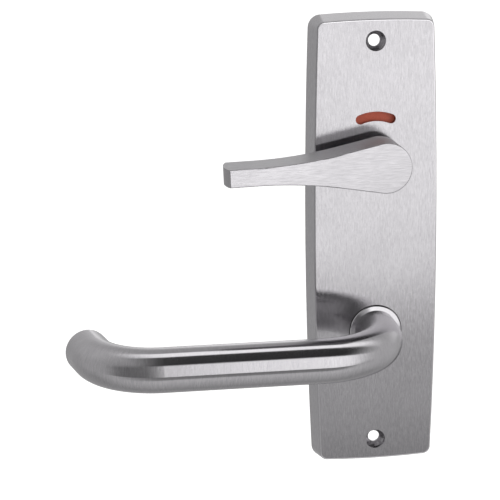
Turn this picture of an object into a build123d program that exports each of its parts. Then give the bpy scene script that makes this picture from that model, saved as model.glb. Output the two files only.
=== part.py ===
from build123d import *
import os
from math import asin, atan, cos, degrees, radians, sin, sqrt, tan

# Privacy lever set, one side of a door, in millimetres.
# X runs along the lever, +Y goes into the door and +Z is up.
# The origin is the centre of the plate on its back plane, which lies on the door.
# Depths in names and comments are measured from that plane towards the room, so Y is minus the depth.

# Face plate
plate_width = 59.0
plate_height = 203.0
plate_depth = 11.0
side_bow = 2.1
end_bow = 0.95
side_draft = 2.3
corner_radius = 5.6
front_edge_round = 0.8
front_wall = 2.5
side_wall = 2.5

# Fixing holes, a set way in from the plate's ends
fixing_inset = 11.5
fixing_radius = 2.6
fixing_sink_radius = 4.4
fixing_head_depth = 2.2
fixing_boss_radius = 7.0
fixing_boss_depth = 5.0

# Lever tube: neck, grip and the leg that returns towards the door
axis_spacing = 78.0
axis_rise = 0.5
bar_radius = 9.5
bar_wall = 1.5
neck_straight = 8.4
neck_bend = 30.0
bar_length = 126.3
end_bend = 29.0
end_bend_angle = 75.0
end_leg = 10.0
neck_lip = 1.8
lever_travel = 45.0

# Lever end cap
cap_plug = 4.0
cap_lip = 1.5
cap_round = 1.2

# Lever collar and bush
collar_width = 2.0
collar_gap = 0.3
collar_lift = 0.7
collar_edge = 0.3
collar_rise = 0.4
collar_seat = 1.6
bush_length = 2.6
bush_play = 0.2
running_gap = 0.05

# Lever hub, spindle and grub screw
hub_drive = 11.0
hub_floor_gap = 0.2
hub_end_gap = 0.1
spindle_square = 7.6
spindle_gap = 0.1
socket_end = 0.9
spindle_projection = 30.0
grub_radius = 2.0
grub_setback = 2.5
grub_gap = 0.05
grub_hex_radius = 1.1

# Lever washer and circlip
washer_play = 0.1
ring_gap = 0.05
lever_washer_thickness = 0.6
lever_washer_width = 2.7
lever_circlip_thickness = 1.0
lever_circlip_width = 2.3
lever_groove = 0.8
circlip_opening = 70.0

# Spring housing and driver
housing_wall = 1.5
housing_floor = 1.0
housing_front_gap = 0.5
floor_hole_gap = 0.6
ear_offset = 3.5
ear_radius = 3.6
ear_thickness = 1.5
driver_floor_gap = 0.3
driver_thickness = 1.0
driver_gap = 0.4
tab_gap = 0.7
tab_thickness = 1.4
tab_front_gap = 1.2
tab_half_angle = 4.2
lug_half_angle = 6.0
lug_height = 3.0
stop_gap_angle = 0.4

# Return spring
wire_radius = 0.6
wire_gap = 0.4
coil_turns = 2.75
coil_inner_gap = 0.6
coil_outer_gap = 1.9
coil_floor_gap = 0.3
coil_front_gap = 1.9
leg_bend = 1.5
leg_push_gap = 0.3
inner_leg_reach = 0.1
outer_leg_bite = 0.9
leg_slot_length = 6.0
arcs_per_turn = 4

# Backing plate and its screws
backing_thickness = 1.5
backing_gap = 0.4
backing_margin = 7.0
backing_corner = 3.0
housing_fit_gap = 0.1
screw_spacing_x = 32.0
screw_radius = 1.45
screw_head_radius = 2.9
screw_length = 6.0
screw_gap = 0.05
screw_hex_radius = 1.0
pillar_radius = 3.5
pillar_room = 7.0
small_screw_radius = 1.2
small_head_radius = 2.3
small_head_height = 1.5
small_slot = 0.5

# Privacy turn
turn_head_radius = 10.7
turn_lever_gap = 0.6
turn_tip_bulge = 1.8
turn_tip_half_height = 3.8
turn_flank_angle = 11.0
turn_sweep_length = 36.5
turn_droop = 1.5
turn_stand_off = 6.7
turn_thickness = 17.9
turn_edge_round = 0.4
turn_boss_radius = 8.5
turn_shank_radius = 6.5
square_relief = 0.15
tail_relief = 0.1
tail_lip = 0.65
turn_travel = 90.0

# Turn bush, spindle and grub screw
turn_bush_wall = 1.5
turn_flange_width = 1.3
turn_flange_thickness = 0.8
turn_spindle_square = 5.0
turn_socket_end = 5.5
turn_grub_radius = 2.0
turn_grub_length = 6.0
turn_trim_margin = 1.0

# Indicator disc, its two sectors and the window
disc_side_room = 7.0
disc_rim = 4.3
disc_gap = 0.3
disc_thickness = 0.8
disc_hub_wall = 0.5
disc_hub_length = 1.9
window_width = 4.15
window_half_angle = 21.6
sector_thickness = 0.2
sector_width = 7.8
sector_half_angle = 44.5
sector_margin = 0.2

# Detent cam, turn washer and turn circlip
cam_radius = 9.0
cam_thickness = 1.2
notch_radius = 1.6
notch_offset = 0.6
cam_tab_reach = 4.0
cam_tab_half_angle = 6.0
turn_washer_thickness = 0.5
turn_washer_width = 3.6
turn_circlip_thickness = 0.75
turn_circlip_width = 2.4
turn_groove = 0.5

# Detent spring, its posts and the stop pins
leaf_thickness = 0.5
leaf_width = 2.0
leaf_offset = 2.0
nose_bite = 0.25
nose_half_length = 3.0
nose_round = 0.8
leaf_wrap = 120.0
post_radius = 1.25
post_gap = 0.1
post_spread = 13.0
pin_radius = 1.25
pin_offset = 2.5
pin_head = 0.2

# Heights of the two axes, which sit a little above the plate's centre, and depths that follow from the plate
turn_z = axis_spacing / 2 + axis_rise
lever_z = turn_z - axis_spacing
cavity_depth = plate_depth - front_wall
draft_angle = degrees(atan(side_draft / plate_depth))
fixing_z = plate_height / 2 - fixing_inset

# Lever, from the front to the back
neck_bend_depth = plate_depth + neck_straight
bar_depth = neck_bend_depth + neck_bend
tube_bore_radius = bar_radius - bar_wall
collar_radius = bar_radius + collar_width
collar_back_depth = plate_depth - collar_seat
lever_bore_radius = collar_radius + collar_gap
bush_radius = lever_bore_radius - running_gap
bush_front_depth = collar_back_depth - bush_play
bush_back_depth = bush_front_depth - bush_length
washer_back_depth = bush_back_depth - washer_play - lever_washer_thickness
lever_washer_radius = bar_radius + lever_washer_width
lever_circlip_back = washer_back_depth - ring_gap - lever_circlip_thickness
lever_groove_radius = bar_radius - lever_groove
neck_back_depth = lever_circlip_back - ring_gap - neck_lip
driver_back_depth = housing_floor + driver_floor_gap
hub_back_depth = housing_floor + hub_floor_gap
hub_drive_depth = driver_back_depth + driver_thickness + hub_floor_gap
hub_front_depth = neck_bend_depth - hub_end_gap
spindle_socket_depth = hub_front_depth - socket_end
grub_depth = hub_front_depth - grub_setback

# Spring, driver and housing, from the neck outwards
tab_inner_radius = lever_washer_radius + tab_gap
tab_outer_radius = tab_inner_radius + tab_thickness
driver_radius = tab_inner_radius - driver_gap
coil_radius = tab_outer_radius + coil_inner_gap + wire_radius
housing_bore_radius = coil_radius + wire_radius + coil_outer_gap
housing_radius = housing_bore_radius + housing_wall
ear_reach = housing_radius + ear_offset
housing_front_depth = cavity_depth - housing_front_gap
tab_front_depth = cavity_depth - tab_front_gap
coil_back_depth = housing_floor + coil_floor_gap + wire_radius
coil_front_depth = cavity_depth - coil_front_gap
inner_leg_radius = tab_inner_radius - inner_leg_reach
outer_leg_radius = housing_bore_radius + outer_leg_bite
leg_push_angle = degrees((wire_radius + leg_push_gap) / tab_inner_radius)
spring_end_angle = 90 + tab_half_angle + leg_push_angle
outer_leg_angle = spring_end_angle - 360 * coil_turns

# Turn, disc and cam, from the front to the back
turn_back_depth = plate_depth + turn_stand_off
turn_front_depth = turn_back_depth + turn_thickness
turn_reach = axis_spacing - bar_radius - turn_lever_gap
turn_length = turn_reach - turn_tip_bulge
turn_square = sqrt(2) * (turn_shank_radius - square_relief)
square_bore = turn_square + 2 * spindle_gap
turn_tail_radius = turn_square / 2 - tail_relief
turn_groove_radius = turn_tail_radius - turn_groove
turn_bush_radius = turn_shank_radius + turn_bush_wall
disc_radius = plate_width / 2 - disc_side_room
window_radius = disc_radius - disc_rim
sector_outer_radius = disc_radius - sector_margin
disc_front_depth = cavity_depth - disc_gap - sector_thickness
disc_back_depth = disc_front_depth - disc_thickness
cam_front_depth = disc_back_depth - disc_hub_length
cam_back_depth = cam_front_depth - cam_thickness
turn_washer_back = cam_back_depth - ring_gap - turn_washer_thickness
turn_circlip_back = turn_washer_back - ring_gap - turn_circlip_thickness
turn_tail_depth = turn_circlip_back - tail_lip
turn_grub_depth = turn_back_depth + turn_thickness / 2
turn_socket_depth = turn_front_depth - turn_socket_end

# Backing plate, its screws and the pillars they go into
backing_width = plate_width - 2 * (side_wall + side_bow + backing_gap)
screw_spacing_z = 2 * (turn_z + disc_radius + pillar_room + pillar_radius)
backing_height = screw_spacing_z + 2 * backing_margin
screw_bore_radius = screw_radius + screw_gap
screw_bore_depth = screw_length + backing_gap

os.makedirs("parts", exist_ok=True)


def door_plane(depth, height=0.0):
    """Plane parallel to the door, seen from the room: local x is +X and local y is +Z."""
    return Plane(origin=(0, -depth, height), x_dir=(1, 0, 0), z_dir=(0, -1, 0))


def bowed_outline(inset=0.0):
    """Plate outline on the door, or one inside it: four slightly bowed sides with rounded corners."""
    side_x = plate_width / 2 - inset
    end_z = plate_height / 2 - inset
    corner_x = side_x - side_bow
    corner_z = end_z - end_bow
    with BuildSketch() as outline:
        with BuildLine():
            ThreePointArc((corner_x, -corner_z), (side_x, 0), (corner_x, corner_z))
            ThreePointArc((corner_x, corner_z), (0, end_z), (-corner_x, corner_z))
            ThreePointArc((-corner_x, corner_z), (-side_x, 0), (-corner_x, -corner_z))
            ThreePointArc((-corner_x, -corner_z), (0, -end_z), (corner_x, -corner_z))
        make_face()
        fillet(outline.vertices(), corner_radius)
    return outline.sketch


def ring_sector(inner, outer, centre_angle, half_angle):
    """Face between two radii and two radial lines about the sketch's origin."""
    start = centre_angle - half_angle
    with BuildSketch() as sector:
        with BuildLine():
            rim = CenterArc((0, 0), outer, start, 2 * half_angle)
            bore = CenterArc((0, 0), inner, start, 2 * half_angle)
            Line(rim @ 0, bore @ 0)
            Line(rim @ 1, bore @ 1)
        make_face()
    return sector.sketch


def polar(radius, angle):
    """Point at a radius and an angle in degrees, from +X towards +Z."""
    return (radius * cos(radians(angle)), radius * sin(radians(angle)))


# Face plate: drafted shell with bosses inside for the fixing holes and the backing plate's screws
screw_places = [
    (sx * screw_spacing_x / 2, sz * screw_spacing_z / 2) for sx in (-1, 1) for sz in (-1, 1)
]
fixing_heights = (-fixing_z, fixing_z)

with BuildLine() as window_line:
    CenterArc((0, 0), window_radius, 90 - window_half_angle, 2 * window_half_angle)

with BuildPart() as face_plate:
    with BuildSketch(door_plane(0)):
        add(bowed_outline())
    extrude(amount=plate_depth)
    draft(face_plate.faces().filter_by(GeomType.CYLINDER), door_plane(0), draft_angle)
    fillet(face_plate.faces().sort_by(Axis.Y)[0].edges(), front_edge_round)
    with BuildSketch(door_plane(0)):
        add(bowed_outline(side_wall))
    extrude(amount=cavity_depth, mode=Mode.SUBTRACT)
    draft(face_plate.faces().filter_by(GeomType.CYLINDER), door_plane(0), -draft_angle)
    with BuildSketch(door_plane(plate_depth - fixing_boss_depth)):
        with Locations(*[(0, height) for height in fixing_heights]):
            Circle(fixing_boss_radius)
    extrude(amount=fixing_boss_depth - front_wall)
    with BuildSketch(door_plane(backing_thickness)):
        with Locations(*screw_places):
            Circle(pillar_radius)
    extrude(amount=cavity_depth - backing_thickness)
    with BuildSketch(door_plane(backing_thickness)):
        with Locations(*screw_places):
            Circle(screw_bore_radius)
    extrude(amount=screw_bore_depth - backing_thickness, mode=Mode.SUBTRACT)
    for height in fixing_heights:
        with Locations(door_plane(plate_depth, height)):
            Hole(fixing_sink_radius, depth=fixing_head_depth)
        with Locations(door_plane(plate_depth - fixing_head_depth, height)):
            CounterSinkHole(fixing_radius, fixing_sink_radius, counter_sink_angle=90)
    with BuildSketch(door_plane(cavity_depth, lever_z)):
        Circle(lever_bore_radius)
    extrude(amount=front_wall, mode=Mode.SUBTRACT)
    with BuildSketch(door_plane(cavity_depth, turn_z)):
        Circle(turn_bush_radius + running_gap)
        SlotArc(window_line.wire(), window_width)
    extrude(amount=front_wall, mode=Mode.SUBTRACT)
face_plate.part.label = "face_plate"
export_step(face_plate.part, "parts/face_plate.step")

# Backing plate: lies flat in the back of the shell, open round the spring housing
with BuildPart() as backing_plate:
    with BuildSketch(door_plane(0)) as backing_outline:
        Rectangle(backing_width, backing_height)
        fillet(backing_outline.vertices(), backing_corner)
        with Locations((0, lever_z)):
            Circle(housing_radius + housing_fit_gap, mode=Mode.SUBTRACT)
        with Locations((0, turn_z)):
            Circle(turn_shank_radius, mode=Mode.SUBTRACT)
    extrude(amount=backing_thickness)
    for place_x, place_z in screw_places:
        screw_entry = Plane(origin=(place_x, 0, place_z), x_dir=(1, 0, 0), z_dir=(0, 1, 0))
        with Locations(screw_entry):
            CounterSinkHole(screw_bore_radius, screw_head_radius + screw_gap, counter_sink_angle=90)
    with BuildSketch(door_plane(0, lever_z)):
        with Locations((0, ear_reach), (0, -ear_reach)):
            Circle(small_screw_radius + screw_gap)
    extrude(amount=backing_thickness, mode=Mode.SUBTRACT)
backing_plate.part.label = "backing_plate"
export_step(backing_plate.part, "parts/backing_plate.step")

# Backing plate screws: countersunk, flush with the back
with BuildPart() as backing_plate_screws:
    with BuildSketch(door_plane(0)):
        with Locations(*screw_places):
            Circle(screw_radius)
    extrude(amount=screw_length)
    for place_x, place_z in screw_places:
        head_base = Plane(origin=(place_x, 0, place_z), x_dir=(1, 0, 0), z_dir=(0, -1, 0))
        with BuildSketch(head_base):
            Circle(screw_head_radius)
        extrude(amount=screw_head_radius - screw_radius, taper=45)
        with BuildSketch(head_base):
            RegularPolygon(screw_hex_radius, 6)
        extrude(amount=screw_hex_radius, mode=Mode.SUBTRACT)
backing_plate_screws.part.label = "backing_plate_screws"
export_step(backing_plate_screws.part, "parts/backing_plate_screws.step")

# Lever handle: one round tube along the neck, the grip and the return leg
grip_end_x = -(bar_length - end_bend)

with BuildPart() as lever_handle:
    with BuildLine(Plane.XY.offset(lever_z)) as tube_path:
        Line((0, -neck_back_depth), (0, -neck_bend_depth))
        CenterArc((-neck_bend, -neck_bend_depth), neck_bend, 0, -90)
        Line((-neck_bend, -bar_depth), (grip_end_x, -bar_depth))
        far_arc = CenterArc((grip_end_x, end_bend - bar_depth), end_bend, -90, -end_bend_angle)
        Line(far_arc @ 1, far_arc @ 1 + (far_arc % 1) * end_leg)
    with BuildSketch(door_plane(neck_back_depth, lever_z)):
        Circle(bar_radius)
    sweep(path=tube_path.wire())
    with BuildSketch(door_plane(neck_back_depth, lever_z)):
        Circle(tube_bore_radius)
    sweep(path=tube_path.wire(), mode=Mode.SUBTRACT)
    with BuildSketch(door_plane(lever_circlip_back - ring_gap, lever_z)):
        Circle(bar_radius)
        Circle(lever_groove_radius, mode=Mode.SUBTRACT)
    extrude(amount=lever_circlip_thickness + 2 * ring_gap, mode=Mode.SUBTRACT)
    with BuildSketch(Plane.XY.offset(lever_z)):
        with Locations((0, -grub_depth)):
            Circle(grub_radius + grub_gap)
    extrude(amount=-bar_radius, mode=Mode.SUBTRACT)
lever_handle.part.label = "lever_handle"
export_step(lever_handle.part, "parts/lever_handle.step")

# Lever end cap: plug in the tube's end with a rounded lip over the wall
tube_end = tube_path.wire() @ 1
tube_end_way = tube_path.wire() % 1
end_plane = Plane(origin=tube_end, z_dir=tube_end_way)

with BuildPart() as lever_end_cap:
    with BuildSketch(end_plane):
        Circle(bar_radius)
    extrude(amount=cap_lip)
    fillet(lever_end_cap.edges().sort_by(Axis(tube_end, tube_end_way))[-1], cap_round)
    with BuildSketch(end_plane):
        Circle(tube_bore_radius)
    extrude(amount=-cap_plug)
lever_end_cap.part.label = "lever_end_cap"
export_step(lever_end_cap.part, "parts/lever_end_cap.step")

# Lever collar: ring on the neck with a bevelled edge and a low cone, turning in a narrow gap in the plate
with BuildPart() as lever_collar:
    with BuildSketch(Plane.XY.offset(lever_z)):
        with BuildLine():
            Polyline(
                (bar_radius, -collar_back_depth),
                (collar_radius, -collar_back_depth),
                (collar_radius, -plate_depth - collar_lift + collar_edge),
                (collar_radius - collar_edge, -plate_depth - collar_lift),
                (bar_radius, -plate_depth - collar_lift - collar_rise),
                close=True,
            )
        make_face()
    revolve(axis=Axis((0, 0, lever_z), (0, 1, 0)))
lever_collar.part.label = "lever_collar"
export_step(lever_collar.part, "parts/lever_collar.step")

# Lever bush: plain bearing for the neck, pressed into the plate from behind
with BuildPart() as lever_bush:
    with BuildSketch(door_plane(bush_back_depth, lever_z)):
        Circle(bush_radius)
        Circle(bar_radius + running_gap, mode=Mode.SUBTRACT)
    extrude(amount=bush_front_depth - bush_back_depth)
lever_bush.part.label = "lever_bush"
export_step(lever_bush.part, "parts/lever_bush.step")

# Lever hub: round insert in the neck, square behind it for the driver, with the spindle's socket
with BuildPart() as lever_hub:
    with BuildSketch(door_plane(hub_drive_depth, lever_z)):
        Circle(tube_bore_radius)
    extrude(amount=hub_front_depth - hub_drive_depth)
    with BuildSketch(door_plane(hub_back_depth, lever_z)):
        Rectangle(hub_drive, hub_drive)
    extrude(amount=hub_drive_depth - hub_back_depth)
    with BuildSketch(door_plane(hub_back_depth, lever_z)):
        Rectangle(spindle_square + 2 * spindle_gap, spindle_square + 2 * spindle_gap)
    extrude(amount=spindle_socket_depth - hub_back_depth, mode=Mode.SUBTRACT)
    with BuildSketch(Plane.XY.offset(lever_z)):
        with Locations((0, -grub_depth)):
            Circle(grub_radius + grub_gap)
    extrude(amount=-bar_radius, mode=Mode.SUBTRACT)
lever_hub.part.label = "lever_hub"
export_step(lever_hub.part, "parts/lever_hub.step")

# Lever grub screw: on the underside of the neck, tight against the spindle, with a hexagon socket
grub_length = bar_radius - spindle_square / 2 - 2 * grub_gap

with BuildPart() as lever_grub_screw:
    with BuildSketch(Plane.XY.offset(lever_z - spindle_square / 2 - grub_gap)):
        with Locations((0, -grub_depth)):
            Circle(grub_radius)
    extrude(amount=-grub_length)
    with BuildSketch(Plane.XY.offset(lever_z - spindle_square / 2 - grub_gap - grub_length)):
        with Locations((0, -grub_depth)):
            RegularPolygon(grub_hex_radius, 6)
    extrude(amount=grub_length / 2, mode=Mode.SUBTRACT)
lever_grub_screw.part.label = "lever_grub_screw"
export_step(lever_grub_screw.part, "parts/lever_grub_screw.step")

# Lever spindle: square bar from the hub's socket out through the back of the plate
with BuildPart() as lever_spindle:
    with BuildSketch(door_plane(-spindle_projection, lever_z)):
        Rectangle(spindle_square, spindle_square)
    extrude(amount=spindle_projection + spindle_socket_depth - spindle_gap)
lever_spindle.part.label = "lever_spindle"
export_step(lever_spindle.part, "parts/lever_spindle.step")

# Lever washer: between the bush and the circlip
with BuildPart() as lever_washer:
    with BuildSketch(door_plane(washer_back_depth, lever_z)):
        Circle(lever_washer_radius)
        Circle(bar_radius + running_gap, mode=Mode.SUBTRACT)
    extrude(amount=lever_washer_thickness)
lever_washer.part.label = "lever_washer"
export_step(lever_washer.part, "parts/lever_washer.step")

# Lever circlip: open ring in the neck's groove
with BuildPart() as lever_circlip:
    with BuildSketch(door_plane(lever_circlip_back, lever_z)):
        circlip_radius = bar_radius + lever_circlip_width
        add(ring_sector(lever_groove_radius + ring_gap, circlip_radius, 270, 180 - circlip_opening / 2))
    extrude(amount=lever_circlip_thickness)
lever_circlip.part.label = "lever_circlip"
export_step(lever_circlip.part, "parts/lever_circlip.step")

# Spring housing: cup with two ears, two stop lugs and a slot for the spring's outer leg
floor_hole_radius = spindle_square / sqrt(2) + floor_hole_gap
wire_room = wire_radius + wire_gap
first_stop_angle = 90 - tab_half_angle - lug_half_angle - stop_gap_angle
last_stop_angle = 90 + lever_travel + tab_half_angle + lug_half_angle + stop_gap_angle

with BuildPart() as spring_housing:
    with BuildSketch(door_plane(0, lever_z)):
        Circle(housing_radius)
    extrude(amount=housing_front_depth)
    with BuildSketch(door_plane(backing_thickness, lever_z)):
        Rectangle(2 * ear_radius, 2 * ear_reach)
        with Locations((0, ear_reach), (0, -ear_reach)):
            Circle(ear_radius)
    extrude(amount=ear_thickness)
    with BuildSketch(door_plane(housing_floor, lever_z)):
        Circle(housing_bore_radius)
    extrude(amount=housing_front_depth - housing_floor, mode=Mode.SUBTRACT)
    with BuildSketch(door_plane(0, lever_z)):
        Circle(floor_hole_radius)
        with Locations((0, ear_reach), (0, -ear_reach)):
            Circle(small_screw_radius + screw_gap)
    extrude(amount=backing_thickness + ear_thickness, mode=Mode.SUBTRACT)
    with BuildSketch(door_plane(housing_floor, lever_z)):
        add(ring_sector(tab_inner_radius, tab_outer_radius, first_stop_angle, lug_half_angle))
        add(ring_sector(tab_inner_radius, tab_outer_radius, last_stop_angle, lug_half_angle))
    extrude(amount=lug_height)
    with BuildSketch(door_plane(housing_floor, lever_z)):
        with Locations(Location(polar(housing_radius, outer_leg_angle), outer_leg_angle)):
            Rectangle(leg_slot_length, 2 * wire_room)
    extrude(amount=2 * wire_room + coil_floor_gap, mode=Mode.SUBTRACT)
spring_housing.part.label = "spring_housing"
export_step(spring_housing.part, "parts/spring_housing.step")

# Housing screws: two small pan-head screws through the ears into the backing plate
with BuildPart() as housing_screws:
    with BuildSketch(door_plane(screw_gap, lever_z)):
        with Locations((0, ear_reach), (0, -ear_reach)):
            Circle(small_screw_radius)
    extrude(amount=backing_thickness + ear_thickness)
    with BuildSketch(door_plane(backing_thickness + ear_thickness, lever_z)):
        with Locations((0, ear_reach), (0, -ear_reach)):
            Circle(small_head_radius)
    extrude(amount=small_head_height)
    with BuildSketch(door_plane(backing_thickness + ear_thickness + small_head_height, lever_z)):
        with Locations((0, ear_reach), (0, -ear_reach)):
            Rectangle(2 * small_head_radius, small_slot)
            Rectangle(small_slot, 2 * small_head_radius)
    extrude(amount=-small_head_height / 2, mode=Mode.SUBTRACT)
housing_screws.part.label = "housing_screws"
export_step(housing_screws.part, "parts/housing_screws.step")

# Spring driver: plate on the hub's square with one tab, which winds the spring and meets the lugs
with BuildPart() as spring_driver:
    with BuildSketch(door_plane(driver_back_depth, lever_z)):
        Circle(driver_radius)
        add(ring_sector(driver_radius - driver_thickness, tab_outer_radius, 90, tab_half_angle))
        Rectangle(hub_drive + 2 * spindle_gap, hub_drive + 2 * spindle_gap, mode=Mode.SUBTRACT)
    extrude(amount=driver_thickness)
    with BuildSketch(door_plane(driver_back_depth, lever_z)):
        add(ring_sector(tab_inner_radius, tab_outer_radius, 90, tab_half_angle))
    extrude(amount=tab_front_depth - driver_back_depth)
spring_driver.part.label = "spring_driver"
export_step(spring_driver.part, "parts/spring_driver.step")

# Return spring: round wire wound in even arcs, with one leg out and one leg in
outer_bend = degrees(asin(leg_bend / (coil_radius + leg_bend)))
inner_bend = degrees(asin(leg_bend / (coil_radius - leg_bend)))
coil_start_angle = outer_leg_angle + outer_bend
coil_end_angle = spring_end_angle - inner_bend
coil_arcs = round(arcs_per_turn * coil_turns)


def spring_point(radius, angle, depth):
    """Point at a radius and an angle about the lever's axis, at a depth."""
    across, along = polar(radius, angle)
    return Vector(across, -depth, lever_z + along)


def coil_point(share):
    """Point on the coil's centre line, by its share of the way from the outer leg."""
    angle = coil_start_angle + share * (coil_end_angle - coil_start_angle)
    return spring_point(coil_radius, angle, coil_back_depth + share * (coil_front_depth - coil_back_depth))


def bend_middle(centre, start, end):
    """Middle of the small bend between a leg and the coil."""
    return centre + (start + end - centre * 2).normalized() * leg_bend


outer_corner_radius = (coil_radius + leg_bend) * cos(radians(outer_bend))
inner_corner_radius = (coil_radius - leg_bend) * cos(radians(inner_bend))
outer_corner = spring_point(outer_corner_radius, outer_leg_angle, coil_back_depth)
inner_corner = spring_point(inner_corner_radius, spring_end_angle, coil_front_depth)
outer_centre = spring_point(coil_radius + leg_bend, coil_start_angle, coil_back_depth)
inner_centre = spring_point(coil_radius - leg_bend, coil_end_angle, coil_front_depth)

with BuildPart() as return_spring:
    with BuildLine() as spring_path:
        Line(spring_point(outer_leg_radius, outer_leg_angle, coil_back_depth), outer_corner)
        ThreePointArc(outer_corner, bend_middle(outer_centre, outer_corner, coil_point(0)), coil_point(0))
        for arc in range(coil_arcs):
            ThreePointArc(*[coil_point((arc + step) / coil_arcs) for step in (0, 0.5, 1)])
        ThreePointArc(coil_point(1), bend_middle(inner_centre, inner_corner, coil_point(1)), inner_corner)
        Line(inner_corner, spring_point(inner_leg_radius, spring_end_angle, coil_front_depth))
    with BuildSketch(Plane(origin=spring_path.wire() @ 0, z_dir=spring_path.wire() % 0)):
        Circle(wire_radius)
    sweep(path=spring_path.wire())
return_spring.part.label = "return_spring"
export_step(return_spring.part, "parts/return_spring.step")
coil_pitch = 360 * (coil_front_depth - coil_back_depth) / (coil_end_angle - coil_start_angle)
print(f"return spring: least gap between turns {coil_pitch - 2 * wire_radius:.2f} mm")

# Privacy turn: round head with straight flanks that curve into a slim tip, boss and shank behind
turn_plane = Plane(
    origin=(0, -turn_back_depth, turn_z),
    x_dir=(-cos(radians(turn_droop)), 0, -sin(radians(turn_droop))),
    z_dir=(0, -1, 0),
)
flank_turn = radians(turn_flank_angle)
sweep_radius = turn_sweep_length / sin(flank_turn)
flank_start = polar(turn_head_radius, 90 - turn_flank_angle)
flank_end_height = turn_tip_half_height + sweep_radius * (1 - cos(flank_turn))
flank_end_reach = flank_start[0] + (flank_start[1] - flank_end_height) / tan(flank_turn)
flank_end = (flank_end_reach, flank_end_height)
sweep_end = (flank_end_reach + turn_sweep_length, turn_tip_half_height)

with BuildPart() as turn_lever:
    with BuildSketch(turn_plane):
        with BuildLine():
            Line((turn_reach, turn_tip_half_height), sweep_end)
            RadiusArc(sweep_end, flank_end, sweep_radius)
            Line(flank_end, flank_start)
            ThreePointArc(flank_start, (-turn_head_radius, 0), (flank_start[0], -flank_start[1]))
            Line((flank_start[0], -flank_start[1]), (flank_end[0], -flank_end[1]))
            RadiusArc((flank_end[0], -flank_end[1]), (sweep_end[0], -sweep_end[1]), sweep_radius)
            Line((sweep_end[0], -sweep_end[1]), (turn_reach, -turn_tip_half_height))
            Line((turn_reach, -turn_tip_half_height), (turn_reach, turn_tip_half_height))
        make_face()
    extrude(amount=turn_thickness)
    with BuildSketch(Plane(origin=turn_plane.origin, x_dir=turn_plane.x_dir, z_dir=turn_plane.y_dir)):
        with BuildLine():
            Polyline(
                (turn_length, 0),
                (-turn_head_radius - turn_trim_margin, 0),
                (-turn_head_radius - turn_trim_margin, -turn_thickness),
                (turn_length, -turn_thickness),
            )
            ThreePointArc(
                (turn_length, -turn_thickness), (turn_reach, -turn_thickness / 2), (turn_length, 0)
            )
        make_face()
    extrude(amount=2 * turn_head_radius, both=True, mode=Mode.INTERSECT)
    fillet(turn_lever.faces().sort_by(Axis.Y)[0].edges(), turn_edge_round)
    with BuildSketch(door_plane(plate_depth + turn_flange_thickness + washer_play, turn_z)):
        Circle(turn_boss_radius)
    extrude(amount=turn_stand_off - turn_flange_thickness - washer_play)
    with BuildSketch(door_plane(cavity_depth - washer_play, turn_z)):
        Circle(turn_shank_radius)
    extrude(amount=front_wall + turn_flange_thickness + 2 * washer_play)
    with BuildSketch(door_plane(cam_back_depth, turn_z)):
        Rectangle(turn_square, turn_square)
    extrude(amount=cavity_depth - washer_play - cam_back_depth)
    with BuildSketch(door_plane(turn_tail_depth, turn_z)):
        Circle(turn_tail_radius)
    extrude(amount=cam_back_depth - turn_tail_depth)
    with BuildSketch(door_plane(turn_circlip_back - ring_gap, turn_z)):
        Circle(turn_tail_radius)
        Circle(turn_groove_radius, mode=Mode.SUBTRACT)
    extrude(amount=turn_circlip_thickness + 2 * ring_gap, mode=Mode.SUBTRACT)
    with BuildSketch(door_plane(turn_tail_depth, turn_z)):
        Rectangle(turn_spindle_square + 2 * spindle_gap, turn_spindle_square + 2 * spindle_gap)
    extrude(amount=turn_socket_depth - turn_tail_depth, mode=Mode.SUBTRACT)
    with BuildSketch(Plane.XY.offset(turn_z)):
        with Locations((0, -turn_grub_depth)):
            Circle(turn_grub_radius + grub_gap)
    extrude(amount=-2 * turn_head_radius, mode=Mode.SUBTRACT)
turn_lever.part.label = "turn_lever"
export_step(turn_lever.part, "parts/turn_lever.step")

# Turn bush: flanged bearing pressed into the plate from the front, hidden by the head
with BuildPart() as turn_bush:
    with BuildSketch(door_plane(cavity_depth, turn_z)):
        Circle(turn_bush_radius)
    extrude(amount=front_wall)
    with BuildSketch(door_plane(plate_depth, turn_z)):
        Circle(turn_bush_radius + turn_flange_width)
    extrude(amount=turn_flange_thickness)
    with BuildSketch(door_plane(cavity_depth, turn_z)):
        Circle(turn_shank_radius + running_gap)
    extrude(amount=front_wall + turn_flange_thickness, mode=Mode.SUBTRACT)
turn_bush.part.label = "turn_bush"
export_step(turn_bush.part, "parts/turn_bush.step")

# Turn spindle: thin square bar from the head out through the back of the plate
with BuildPart() as turn_spindle:
    with BuildSketch(door_plane(-spindle_projection, turn_z)):
        Rectangle(turn_spindle_square, turn_spindle_square)
    extrude(amount=spindle_projection + turn_socket_depth - spindle_gap)
turn_spindle.part.label = "turn_spindle"
export_step(turn_spindle.part, "parts/turn_spindle.step")

# Turn grub screw: in the underside of the head, tight against the thin spindle
turn_grub_top = turn_z - turn_spindle_square / 2 - grub_gap

with BuildPart() as turn_grub_screw:
    with BuildSketch(Plane.XY.offset(turn_grub_top)):
        with Locations((0, -turn_grub_depth)):
            Circle(turn_grub_radius)
    extrude(amount=-turn_grub_length)
    with BuildSketch(Plane.XY.offset(turn_grub_top - turn_grub_length)):
        with Locations((0, -turn_grub_depth)):
            RegularPolygon(grub_hex_radius, 6)
    extrude(amount=turn_grub_length / 2, mode=Mode.SUBTRACT)
turn_grub_screw.part.label = "turn_grub_screw"
export_step(turn_grub_screw.part, "parts/turn_grub_screw.step")

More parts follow.
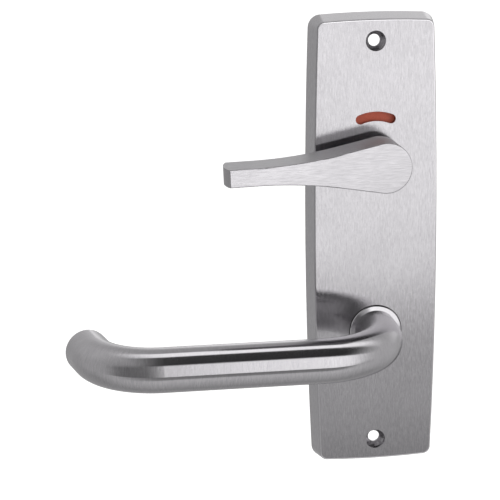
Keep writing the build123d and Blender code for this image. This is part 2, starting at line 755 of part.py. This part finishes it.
# Indicator disc: on the turn's square, close behind the plate's front wall
with BuildPart() as indicator_disc:
    with BuildSketch(door_plane(disc_back_depth, turn_z)):
        Circle(disc_radius)
    extrude(amount=disc_thickness)
    with BuildSketch(door_plane(cam_front_depth, turn_z)):
        Circle(turn_shank_radius + disc_hub_wall)
    extrude(amount=disc_hub_length)
    with BuildSketch(door_plane(cam_front_depth, turn_z)):
        Rectangle(square_bore, square_bore)
    extrude(amount=disc_hub_length + disc_thickness, mode=Mode.SUBTRACT)
indicator_disc.part.label = "indicator_disc"
export_step(indicator_disc.part, "parts/indicator_disc.step")

# Indicator sectors: red at the window while the turn is level, green a quarter turn behind it
sector_inner_radius = sector_outer_radius - sector_width

with BuildPart() as red_indicator:
    with BuildSketch(door_plane(disc_front_depth, turn_z)):
        add(ring_sector(sector_inner_radius, sector_outer_radius, 90, sector_half_angle))
    extrude(amount=sector_thickness)
red_indicator.part.label = "red_indicator"
export_step(red_indicator.part, "parts/red_indicator.step")

with BuildPart() as green_indicator:
    with BuildSketch(door_plane(disc_front_depth, turn_z)):
        add(ring_sector(sector_inner_radius, sector_outer_radius, 90 - turn_travel, sector_half_angle))
    extrude(amount=sector_thickness)
green_indicator.part.label = "green_indicator"
export_step(green_indicator.part, "parts/green_indicator.step")

# Detent cam: a notch for each end of the quarter turn, and a tab that meets the stop pins
with BuildPart() as detent_cam:
    with BuildSketch(door_plane(cam_back_depth, turn_z)):
        Circle(cam_radius)
        add(ring_sector(cam_radius - cam_thickness, cam_radius + cam_tab_reach, 180, cam_tab_half_angle))
        with Locations(polar(cam_radius + notch_offset, 0), polar(cam_radius + notch_offset, -turn_travel)):
            Circle(notch_radius, mode=Mode.SUBTRACT)
        Rectangle(square_bore, square_bore, mode=Mode.SUBTRACT)
    extrude(amount=cam_thickness)
detent_cam.part.label = "detent_cam"
export_step(detent_cam.part, "parts/detent_cam.step")

# Turn washer and circlip: hold the cam and the disc on the shank
with BuildPart() as turn_washer:
    with BuildSketch(door_plane(turn_washer_back, turn_z)):
        Circle(turn_tail_radius + turn_washer_width)
        Circle(turn_tail_radius + running_gap, mode=Mode.SUBTRACT)
    extrude(amount=turn_washer_thickness)
turn_washer.part.label = "turn_washer"
export_step(turn_washer.part, "parts/turn_washer.step")

with BuildPart() as turn_circlip:
    with BuildSketch(door_plane(turn_circlip_back, turn_z)):
        circlip_radius = turn_tail_radius + turn_circlip_width
        add(ring_sector(turn_groove_radius + ring_gap, circlip_radius, 270, 180 - circlip_opening / 2))
    extrude(amount=turn_circlip_thickness)
turn_circlip.part.label = "turn_circlip"
export_step(turn_circlip.part, "parts/turn_circlip.step")

# Detent spring: leaf wrapped round two posts, with a nose in the cam's notch
leaf_middle_depth = cam_back_depth + cam_thickness / 2
leaf_line = cam_radius + leaf_offset
wrap_radius = post_radius + post_gap + leaf_thickness / 2
post_line = leaf_line + wrap_radius

with BuildPart() as detent_spring:
    with BuildLine(door_plane(leaf_middle_depth, turn_z)) as leaf_path:
        CenterArc((post_line, post_spread), wrap_radius, 180 - leaf_wrap, leaf_wrap)
        FilletPolyline(
            (leaf_line, post_spread),
            (leaf_line, nose_half_length),
            (cam_radius - nose_bite, 0),
            (leaf_line, -nose_half_length),
            (leaf_line, -post_spread),
            radius=nose_round,
        )
        CenterArc((post_line, -post_spread), wrap_radius, 180, leaf_wrap)
    leaf_start = leaf_path.wire() @ 0
    leaf_way = leaf_path.wire() % 0
    with BuildSketch(Plane(origin=leaf_start, x_dir=(0, 1, 0), z_dir=leaf_way)):
        Rectangle(leaf_width, leaf_thickness)
    sweep(path=leaf_path.wire())
detent_spring.part.label = "detent_spring"
export_step(detent_spring.part, "parts/detent_spring.step")

# Detent posts and stop pins: riveted into the backing plate's front face
with BuildPart() as detent_posts:
    with BuildSketch(door_plane(backing_thickness, turn_z)):
        with Locations((post_line, post_spread), (post_line, -post_spread)):
            Circle(post_radius)
    extrude(amount=leaf_middle_depth + leaf_width / 2 + post_gap - backing_thickness)
detent_posts.part.label = "detent_posts"
export_step(detent_posts.part, "parts/detent_posts.step")

pin_orbit = cam_radius + pin_offset
pin_lead = cam_tab_half_angle + degrees(asin(pin_radius / pin_orbit)) + stop_gap_angle
pin_angles = (180 - pin_lead, 180 + turn_travel + pin_lead)

with BuildPart() as stop_pins:
    with BuildSketch(door_plane(backing_thickness, turn_z)):
        with Locations(*[polar(pin_orbit, angle) for angle in pin_angles]):
            Circle(pin_radius)
    extrude(amount=cam_front_depth + pin_head - backing_thickness)
stop_pins.part.label = "stop_pins"
export_step(stop_pins.part, "parts/stop_pins.step")
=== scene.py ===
from math import cos, radians, sin

import bmesh
import bpy
from mathutils import Matrix, Vector


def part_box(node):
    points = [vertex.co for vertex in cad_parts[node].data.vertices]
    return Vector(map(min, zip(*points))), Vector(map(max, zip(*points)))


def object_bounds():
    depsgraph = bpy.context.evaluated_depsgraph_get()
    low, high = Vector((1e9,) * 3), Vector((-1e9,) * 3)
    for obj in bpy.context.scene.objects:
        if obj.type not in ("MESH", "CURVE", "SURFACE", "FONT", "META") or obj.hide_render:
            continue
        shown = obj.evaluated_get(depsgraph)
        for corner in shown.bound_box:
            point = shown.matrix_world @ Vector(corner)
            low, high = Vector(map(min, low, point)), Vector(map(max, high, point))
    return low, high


# Privacy lever set, dressed for the camera. Everything is in metres, in the frame of the solids:
# X along the lever, +Y into the door, +Z up, origin at the plate's centre on its back plane.
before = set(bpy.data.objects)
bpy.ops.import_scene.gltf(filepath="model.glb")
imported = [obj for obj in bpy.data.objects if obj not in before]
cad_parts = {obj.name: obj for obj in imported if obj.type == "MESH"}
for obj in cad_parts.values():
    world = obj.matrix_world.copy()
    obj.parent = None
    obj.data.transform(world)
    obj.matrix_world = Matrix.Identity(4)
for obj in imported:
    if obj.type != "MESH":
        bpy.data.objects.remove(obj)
solid_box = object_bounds()

MM = 0.001

# The lever's round tube, for a grain that follows it: out from the plate, a bend at the neck, the straight
# grip, and a bend back towards the door
lever_low, lever_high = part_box("lever_handle")
LEVER_HEIGHT = (lever_low.z + lever_high.z) / 2
TUBE_RADIUS = (lever_high.z - lever_low.z) / 2
GRIP_DEPTH = lever_low.y + TUBE_RADIUS
GRIP_LENGTH = 126.3 * MM
NECK_BEND = 30 * MM
END_BEND = 29 * MM
NECK_BEND_CENTRE = Vector((-NECK_BEND, GRIP_DEPTH + NECK_BEND, LEVER_HEIGHT))
END_BEND_CENTRE = Vector((END_BEND - GRIP_LENGTH, GRIP_DEPTH + END_BEND, LEVER_HEIGHT))

# Hairlines of the brushed steel: their sizes along X, Y and Z, and on the tube along it and across it. The
# real ones are under 0.2 mm wide, too fine to show, so they are drawn about twice as wide.
PLATE_HAIRLINE = (0.4 * MM, 0.4 * MM, 2.4 * MM)
TUBE_HAIRLINE = (0.35 * MM, 3 * MM, 3 * MM)
TURN_HAIRLINE = (5 * MM, 0.35 * MM, 0.35 * MM)
TURN_BRUSHING_ANGLE = radians(1.5)

# The noise that draws every grain, the part of its range that takes the finish from dark to light, and the
# depth of its relief
GRAIN_DETAIL = 4.0
GRAIN_ROUGHNESS = 0.65
GRAIN_DARK, GRAIN_LIGHT = 0.32, 0.68
RELIEF_DEPTH = 0.05 * MM

# Broad patches where a surface is slightly smoother or rougher, as belts and handling leave them, and the sum
# of grain and cloud at which it is at its smoothest and its roughest
CLOUD_SIZE = 18 * MM
CLOUD_DETAIL = 2.0
CLOUD_ROUGHNESS = 0.5
SMOOTH_SUM, ROUGH_SUM = 0.7, 1.3

# Where a second finish begins and ends, by how far the surface turns from the room: its normal's Y is -1 on
# a front face and 0 on a side
# The plate's edge band is a smoother finish, and its colour is painted lighter there as a painted highlight
# along the front edge.
DEBURRED_EDGE_PAINTED_HIGHLIGHT = ((-1, 0), (-0.995, 0), (-0.985, 1), (-0.93, 1), (-0.88, 0), (1, 0))
BLASTED_SIDES = ((-1, 0), (-0.9, 0), (-0.5, 1), (1, 1))


def linear(hex_colour):
    """Linear colour with alpha, from an sRGB hex value."""
    parts = [int(hex_colour[i:i + 2], 16) / 255 for i in (1, 3, 5)]
    return [p / 12.92 if p <= 0.04045 else ((p + 0.055) / 1.055) ** 2.4 for p in parts] + [1.0]


def add_node(tree, kind, inputs=None, **settings):
    """Adds a node with its settings. An input is a plain value or another node's output socket."""
    made = tree.nodes.new(kind)
    for name, value in settings.items():
        setattr(made, name, value)
    for name, value in (inputs or {}).items():
        if isinstance(value, bpy.types.NodeSocket):
            tree.links.new(value, made.inputs[name])
        else:
            made.inputs[name].default_value = value
    return made


def value_bands(tree, measure, bands, limit):
    """Grey value in bands along a measure from -limit to limit, from pairs of a place and its value."""
    share = add_node(tree, "ShaderNodeMapRange", {"Value": measure, "From Min": -limit, "From Max": limit})
    ramp = add_node(tree, "ShaderNodeValToRGB", {"Fac": share.outputs["Result"]})
    stops = ramp.color_ramp.elements
    while len(stops) < len(bands):
        stops.new(0.5)
    for stop, (place, value) in zip(stops, bands):
        stop.position = (place / limit + 1) / 2
        stop.color = (value, value, value, 1)
    return ramp.outputs["Color"]


def start_material(name):
    """Empty material with a Principled shader joined to its output."""
    material = bpy.data.materials.new(name)
    material.use_nodes = True
    tree = material.node_tree
    tree.nodes.clear()
    shader = add_node(tree, "ShaderNodeBsdfPrincipled")
    add_node(tree, "ShaderNodeOutputMaterial", {"Surface": shader.outputs["BSDF"]})
    return material, tree, shader


def spread_light(tree, shader, way, spread):
    """Bare metal whose hairlines run across one way and spread each light along it."""
    shader.inputs["Metallic"].default_value = 1.0
    shader.inputs["Anisotropic"].default_value = spread
    tree.links.new(way, shader.inputs["Tangent"])


def stretched_grain(tree, place, size):
    """Noise with grains of one size in metres along the X, Y and Z of a place."""
    stretched = add_node(tree, "ShaderNodeMapping", {"Vector": place, "Scale": [1 / s for s in size]})
    noise = add_node(
        tree, "ShaderNodeTexNoise",
        {"Vector": stretched.outputs["Vector"], "Scale": 1.0,
         "Detail": GRAIN_DETAIL, "Roughness": GRAIN_ROUGHNESS},
    )
    return noise.outputs["Fac"]


def straight_grain(tree, size, turn=0.0):
    """Grain in the object's own axes, turned about Y before it is stretched."""
    place = add_node(tree, "ShaderNodeTexCoord").outputs["Object"]
    turned = add_node(tree, "ShaderNodeMapping", {"Vector": place, "Rotation": (0, turn, 0)})
    return stretched_grain(tree, turned.outputs["Vector"], size)


def finish_surface(tree, shader, grain, light, dark, smooth, rough, relief):
    """Colour, roughness and relief that follow one grain, with broader clouds in the roughness."""
    tone = add_node(
        tree, "ShaderNodeMapRange", {"Value": grain, "From Min": GRAIN_DARK, "From Max": GRAIN_LIGHT}
    )
    colour = add_node(
        tree, "ShaderNodeMix",
        {"Factor": tone.outputs["Result"], "A": linear(dark), "B": linear(light)}, data_type="RGBA",
    )
    tree.links.new(colour.outputs["Result"], shader.inputs["Base Color"])
    place = add_node(tree, "ShaderNodeTexCoord").outputs["Object"]
    clouds = add_node(
        tree, "ShaderNodeTexNoise",
        {"Vector": place, "Scale": 1 / CLOUD_SIZE, "Detail": CLOUD_DETAIL, "Roughness": CLOUD_ROUGHNESS},
    )
    both = add_node(tree, "ShaderNodeMath", {0: grain, 1: clouds.outputs["Fac"]}, operation="ADD")
    roughness = add_node(
        tree, "ShaderNodeMapRange",
        {"Value": both.outputs["Value"], "From Min": SMOOTH_SUM, "From Max": ROUGH_SUM,
         "To Min": smooth, "To Max": rough},
    )
    tree.links.new(roughness.outputs["Result"], shader.inputs["Roughness"])
    bump = add_node(tree, "ShaderNodeBump", {"Height": grain, "Strength": relief, "Distance": RELIEF_DEPTH})
    tree.links.new(bump.outputs["Normal"], shader.inputs["Normal"])


def blend_by_facing(tree, shader, places, rough, hex_colour, blend_type):
    """A second roughness and colour where the surface faces as the places say."""
    surface = add_node(tree, "ShaderNodeNewGeometry")
    facing = add_node(tree, "ShaderNodeSeparateXYZ", {"Vector": surface.outputs["True Normal"]})
    here = value_bands(tree, facing.outputs["Y"], places, limit=1)
    first_roughness = shader.inputs["Roughness"].links[0].from_socket
    first_colour = shader.inputs["Base Color"].links[0].from_socket
    roughness = add_node(
        tree, "ShaderNodeMix", {"Factor": here, "A": first_roughness, "B": rough}, data_type="FLOAT"
    )
    tree.links.new(roughness.outputs["Result"], shader.inputs["Roughness"])
    colour = add_node(
        tree, "ShaderNodeMix", {"Factor": here, "A": first_colour, "B": linear(hex_colour)},
        data_type="RGBA", blend_type=blend_type,
    )
    tree.links.new(colour.outputs["Result"], shader.inputs["Base Color"])


def brushed_plate_steel():
    """Stainless steel sheet finished on a belt: fine hairlines that run up the plate.

    They spread each light sideways and keep it sharp upwards, so the plate fades from top to bottom.
    The front edge is deburred, which leaves it smoother than the face, and its colour is painted lighter
    there as a painted highlight along the edge.
    """
    material, tree, shader = start_material("belt_brushed_stainless_plate")
    sideways = add_node(tree, "ShaderNodeCombineXYZ", {"X": 1.0}).outputs["Vector"]
    spread_light(tree, shader, sideways, spread=0.85)
    grain = straight_grain(tree, PLATE_HAIRLINE)
    finish_surface(tree, shader, grain, "#BFBDC0", "#A9A7AA", smooth=0.14, rough=0.18, relief=0.25)
    # Smoother front edge, with its colour painted lighter as a painted highlight line
    blend_by_facing(tree, shader, DEBURRED_EDGE_PAINTED_HIGHLIGHT, rough=0.1, hex_colour="#EFEDF0", blend_type="MIX")
    return material


def follow_tube(tree):
    """Place along the lever's tube, unrolled at its two bends, and the way in which the tube runs there."""
    place = add_node(tree, "ShaderNodeTexCoord").outputs["Object"]
    axes = add_node(tree, "ShaderNodeSeparateXYZ", {"Vector": place})
    along = axes.outputs["X"]
    way = add_node(tree, "ShaderNodeCombineXYZ", {"X": 1.0}).outputs["Vector"]
    for centre, radius, side in (
        (NECK_BEND_CENTRE, NECK_BEND, "GREATER_THAN"),
        (END_BEND_CENTRE, END_BEND, "LESS_THAN"),
    ):
        bent = add_node(
            tree, "ShaderNodeMath", {0: axes.outputs["X"], 1: centre.x}, operation=side
        ).outputs["Value"]
        spoke = add_node(
            tree, "ShaderNodeVectorMath", {0: place, 1: centre}, operation="SUBTRACT"
        ).outputs["Vector"]
        reach = add_node(tree, "ShaderNodeSeparateXYZ", {"Vector": spoke})
        forward = add_node(tree, "ShaderNodeMath", {0: reach.outputs["Y"], 1: -1.0}, operation="MULTIPLY")
        angle = add_node(
            tree, "ShaderNodeMath", {0: reach.outputs["X"], 1: forward.outputs["Value"]}, operation="ARCTAN2"
        )
        arc = add_node(
            tree, "ShaderNodeMath", {0: angle.outputs["Value"], 1: radius, 2: centre.x},
            operation="MULTIPLY_ADD",
        )
        along = add_node(
            tree, "ShaderNodeMix", {"Factor": bent, "A": along, "B": arc.outputs["Value"]},
            data_type="FLOAT",
        ).outputs["Result"]
        round_bend = add_node(
            tree, "ShaderNodeVectorMath", {0: (0, 0, 1), 1: spoke}, operation="CROSS_PRODUCT"
        )
        unit = add_node(
            tree, "ShaderNodeVectorMath", {0: round_bend.outputs["Vector"]}, operation="NORMALIZE"
        )
        way = add_node(
            tree, "ShaderNodeMix", {"Factor": bent, "A": way, "B": unit.outputs["Vector"]},
            data_type="VECTOR",
        ).outputs["Result"]
    unrolled = add_node(
        tree, "ShaderNodeCombineXYZ", {"X": along, "Y": axes.outputs["Y"], "Z": axes.outputs["Z"]}
    )
    return unrolled.outputs["Vector"], way


def brushed_tube_steel():
    """Stainless steel tube finished on a belt across its length: a short grain round the tube.

    It spreads each light along the tube and keeps it sharp across, which gives long clean bands.
    """
    material, tree, shader = start_material("belt_brushed_stainless_tube")
    unrolled, along_tube = follow_tube(tree)
    spread_light(tree, shader, along_tube, spread=0.9)
    grain = stretched_grain(tree, unrolled, TUBE_HAIRLINE)
    finish_surface(tree, shader, grain, "#BDBBBE", "#B0AEB1", smooth=0.14, rough=0.18, relief=0.06)
    return material


def brushed_turn_steel():
    """Cast stainless steel: its front face brushed along its length, its sides left as blasted.

    The face spreads each light up and down and stays bright, while the sides are an even dull grey.
    """
    material, tree, shader = start_material("stainless_turn_brushed_face_blasted_sides")
    upwards = add_node(tree, "ShaderNodeCombineXYZ", {"Z": 1.0}).outputs["Vector"]
    spread_light(tree, shader, upwards, spread=0.6)
    grain = straight_grain(tree, TURN_HAIRLINE, TURN_BRUSHING_ANGLE)
    finish_surface(tree, shader, grain, "#C4C2C5", "#ACAAAD", smooth=0.14, rough=0.19, relief=0.3)
    blend_by_facing(tree, shader, BLASTED_SIDES, rough=0.5, hex_colour="#F0F0F0", blend_type="MULTIPLY")
    return material


def plain_finish(name, light, dark, smooth, rough, grain_size, relief, metallic=1.0):
    """Even finish with a fine grain of one size in every direction."""
    material, tree, shader = start_material(name)
    shader.inputs["Metallic"].default_value = metallic
    grain = straight_grain(tree, (grain_size, grain_size, grain_size))
    finish_surface(tree, shader, grain, light, dark, smooth, rough, relief)
    return material


# The real grain of the plain finishes is 0.1 mm or less, apart from the mottle of the zinc. It is drawn at
# 0.5 to 0.8 mm so that it shows.

# Turned and polished collar: the brightest metal on the set
collar_steel = plain_finish(
    "turned_bright_stainless", "#C5C3C6", "#BDBBBE", smooth=0.12, rough=0.18, grain_size=0.6 * MM, relief=0.04
)
# Zinc plating on pressed steel: slightly blue, dull, with a crystalline mottle
zinc_plating = plain_finish(
    "zinc_plated_steel", "#B9BDC1", "#A2A6AA", smooth=0.32, rough=0.45, grain_size=1.6 * MM, relief=0.15
)
# Hard drawn spring wire: dull grey
spring_wire = plain_finish(
    "hard_drawn_spring_wire", "#7B7C7E", "#606163", smooth=0.3, rough=0.42, grain_size=0.8 * MM, relief=0.1
)
# Oiled black oxide on screws and rings: nearly black, half dull
black_oxide = plain_finish(
    "black_oxide_steel", "#303031", "#222223", smooth=0.35, rough=0.5, grain_size=0.6 * MM, relief=0.1
)
# Moulded acetal: black, smooth, faintly waxy
black_acetal = plain_finish(
    "moulded_black_acetal", "#272727", "#1E1E1E",
    smooth=0.35, rough=0.5, grain_size=0.5 * MM, relief=0.1, metallic=0.0,
)
# Sprayed indicator paint: flat, with a slight orange-peel texture
red_paint = plain_finish(
    "brick_red_paint", "#D46347", "#C4553C",
    smooth=0.42, rough=0.52, grain_size=0.5 * MM, relief=0.12, metallic=0.0,
)
green_paint = plain_finish(
    "signal_green_paint", "#3E8A57", "#347A4B",
    smooth=0.42, rough=0.52, grain_size=0.5 * MM, relief=0.12, metallic=0.0,
)

finishes = {
    brushed_plate_steel(): ["face_plate"],
    brushed_tube_steel(): ["lever_handle", "lever_end_cap"],
    brushed_turn_steel(): ["turn_lever"],
    collar_steel: ["lever_collar"],
    zinc_plating: [
        "backing_plate", "backing_plate_screws", "spring_housing", "housing_screws", "spring_driver",
        "lever_hub", "lever_spindle", "lever_washer", "turn_spindle", "turn_washer", "indicator_disc",
        "detent_cam", "detent_posts", "stop_pins",
    ],
    spring_wire: ["return_spring", "detent_spring"],
    black_oxide: ["lever_circlip", "turn_circlip", "lever_grub_screw", "turn_grub_screw"],
    black_acetal: ["lever_bush", "turn_bush"],
    red_paint: ["red_indicator"],
    green_paint: ["green_indicator"],
}
for finish, names in finishes.items():
    for name in names:
        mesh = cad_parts[name].data
        mesh.materials.clear()
        mesh.materials.append(finish)

# Floor: plain white paper, well below the plate. It glows slightly to stay as pale as the backdrop, and the
# steel doesn't mirror it.
FLOOR_DROP = 0.12
FLOOR_REACH = 6.0
FLOOR_GLOW = 0.6
floor_mesh = bpy.data.meshes.new("floor")
sheet = bmesh.new()
bmesh.ops.create_grid(sheet, x_segments=1, y_segments=1, size=FLOOR_REACH)
bmesh.ops.translate(sheet, verts=sheet.verts, vec=(0, 0, solid_box[0].z - FLOOR_DROP))
sheet.to_mesh(floor_mesh)
sheet.free()
floor = bpy.data.objects.new("floor", floor_mesh)
bpy.context.scene.collection.objects.link(floor)
floor.visible_glossy = False
floor_paper, _, floor_shader = start_material("white_paper")
floor_shader.inputs["Base Color"].default_value = linear("#F2F2F1")
floor_shader.inputs["Roughness"].default_value = 0.9
floor_shader.inputs["Emission Color"].default_value = linear("#FFFFFF")
floor_shader.inputs["Emission Strength"].default_value = FLOOR_GLOW
floor_mesh.materials.append(floor_paper)

# Studio: long soft lights that run along X, given as brightness by the angle about X in degrees. 0 is level
# towards the room, 90 is overhead, 180 is behind the plate and -90 is below.
ROOM = (
    (-180, 0.45), (-100, 0.36), (-65, 0.55), (-45, 0.68), (-37, 0.66), (-33, 0.3), (-26, 0.26),
    (-22.2, 0.34), (-20.6, 0.64), (-18.6, 0.49), (-17.2, 0.42), (-16.4, 0.2), (35, 0.2), (41, 0.03),
    (83, 0.04), (87, 1.5), (107, 1.5), (110, 0.42), (145, 0.45), (160, 0.62), (172, 0.55), (180, 0.45),
)
# The left of the room, where the lights have faded out
ROOM_LEFT = (
    (-180, 0.45), (-100, 0.36), (-65, 0.55), (-45, 0.58), (-32, 0.4), (-20, 0.2), (34, 0.2), (50, 0.4),
    (84, 0.5), (104, 0.6), (115, 0.6), (150, 0.55), (180, 0.45),
)
# Lights added on the right: the large one in front, and a paler one behind
RIGHT_LIGHTS = (
    (-180, 0), (-17.1, 0), (-16.5, 1.14), (-13, 1.2), (-9.5, 1.26), (-8, 1.34), (-6, 1.3), (35, 1.3),
    (41, 0), (138, 0), (160, 0.5), (172, 0.35), (180, 0),
)
# Their share by the X of a direction, from -1 on the left to 1 on the right
RIGHT_LIGHTS_SHARE = (
    (-0.3, 0), (-0.1, 0.12), (0.03, 0.25), (0.055, 0.35), (0.066, 0.85), (0.078, 1.28), (0.095, 1.32),
    (0.12, 1.16), (0.14, 1.03), (0.17, 0.97), (0.2, 0.94), (0.3, 0.92),
)
# The X of a direction where the left of the room ends and the rest begins
ROOM_LEFT_END, ROOM_START = -0.5, 0.05
# Plain walls at both ends: the X of a direction where each starts and where it is full, and its brightness
WALLS = ((-0.8, -0.97, 0.5), (0.6, 0.95, 0.6))
BACKDROP = (1, 1, 1, 1)
STUDIO_STRENGTH = 1.15

world = bpy.data.worlds.new("studio")
bpy.context.scene.world = world
world.use_nodes = True
studio = world.node_tree
studio.nodes.clear()
direction = add_node(studio, "ShaderNodeTexCoord").outputs["Generated"]
towards = add_node(studio, "ShaderNodeSeparateXYZ", {"Vector": direction})
room_side = add_node(studio, "ShaderNodeMath", {0: towards.outputs["Y"], 1: -1.0}, operation="MULTIPLY")
turn_about_x = add_node(
    studio, "ShaderNodeMath", {0: towards.outputs["Z"], 1: room_side.outputs["Value"]}, operation="ARCTAN2"
)
degrees_about_x = add_node(
    studio, "ShaderNodeMath", {0: turn_about_x.outputs["Value"]}, operation="DEGREES"
).outputs["Value"]
past_the_left = add_node(
    studio, "ShaderNodeMapRange",
    {"Value": towards.outputs["X"], "From Min": ROOM_LEFT_END, "From Max": ROOM_START},
)
dim_room = add_node(
    studio, "ShaderNodeMix",
    {"Factor": past_the_left.outputs["Result"],
     "A": value_bands(studio, degrees_about_x, ROOM_LEFT, limit=180),
     "B": value_bands(studio, degrees_about_x, ROOM, limit=180)},
    data_type="RGBA",
)
right_lights = add_node(
    studio, "ShaderNodeMix",
    {"Factor": 1.0,
     "A": value_bands(studio, degrees_about_x, RIGHT_LIGHTS, limit=180),
     "B": value_bands(studio, towards.outputs["X"], RIGHT_LIGHTS_SHARE, limit=1)},
    data_type="RGBA", blend_type="MULTIPLY",
)
room = add_node(
    studio, "ShaderNodeMix",
    {"Factor": 1.0, "A": dim_room.outputs["Result"], "B": right_lights.outputs["Result"]},
    data_type="RGBA", blend_type="ADD",
).outputs["Result"]
for start, full, brightness in WALLS:
    on_wall = add_node(
        studio, "ShaderNodeMapRange", {"Value": towards.outputs["X"], "From Min": start, "From Max": full}
    )
    room = add_node(
        studio, "ShaderNodeMix",
        {"Factor": on_wall.outputs["Result"], "A": room, "B": (brightness, brightness, brightness, 1)},
        data_type="RGBA",
    ).outputs["Result"]
seen = add_node(studio, "ShaderNodeLightPath")
shown = add_node(
    studio, "ShaderNodeMix", {"Factor": seen.outputs["Is Camera Ray"], "A": room, "B": BACKDROP},
    data_type="RGBA",
)
glow = add_node(
    studio, "ShaderNodeBackground", {"Color": shown.outputs["Result"], "Strength": STUDIO_STRENGTH}
)
add_node(studio, "ShaderNodeOutputWorld", {"Surface": glow.outputs["Background"]})

# Camera: to the left of the plate, looking slightly right and down through a long lens. Its place and lens
# were fitted to the plate's corners, holes and axes in the photo.
YAW, PITCH, ROLL = radians(6.627), radians(14.217), radians(-1.119)
AIM = Vector((-0.054274, 0, -0.001659))
DISTANCE = 0.664087
FOCAL_PIXELS = 1500.714
PHOTO_PIXELS = 500
SENSOR_WIDTH = 36
CLIP_START, CLIP_END = 0.01, 50
ahead = Vector((sin(YAW) * cos(PITCH), cos(YAW) * cos(PITCH), -sin(PITCH)))
level = Vector((cos(YAW), -sin(YAW), 0))
above = level.cross(ahead)
right = level * cos(ROLL) + above * sin(ROLL)
up = above * cos(ROLL) - level * sin(ROLL)
camera_data = bpy.data.cameras.new("camera")
camera_data.sensor_width = SENSOR_WIDTH
camera_data.lens = SENSOR_WIDTH * FOCAL_PIXELS / PHOTO_PIXELS
camera_data.clip_start = CLIP_START
camera_data.clip_end = CLIP_END
camera = bpy.data.objects.new("camera", camera_data)
bpy.context.scene.collection.objects.link(camera)
turned = Matrix((right, up, -ahead)).transposed().to_4x4()
camera.matrix_world = Matrix.Translation(AIM - ahead * DISTANCE) @ turned
bpy.context.scene.camera = camera
bpy.context.scene.view_settings.view_transform = "Standard"
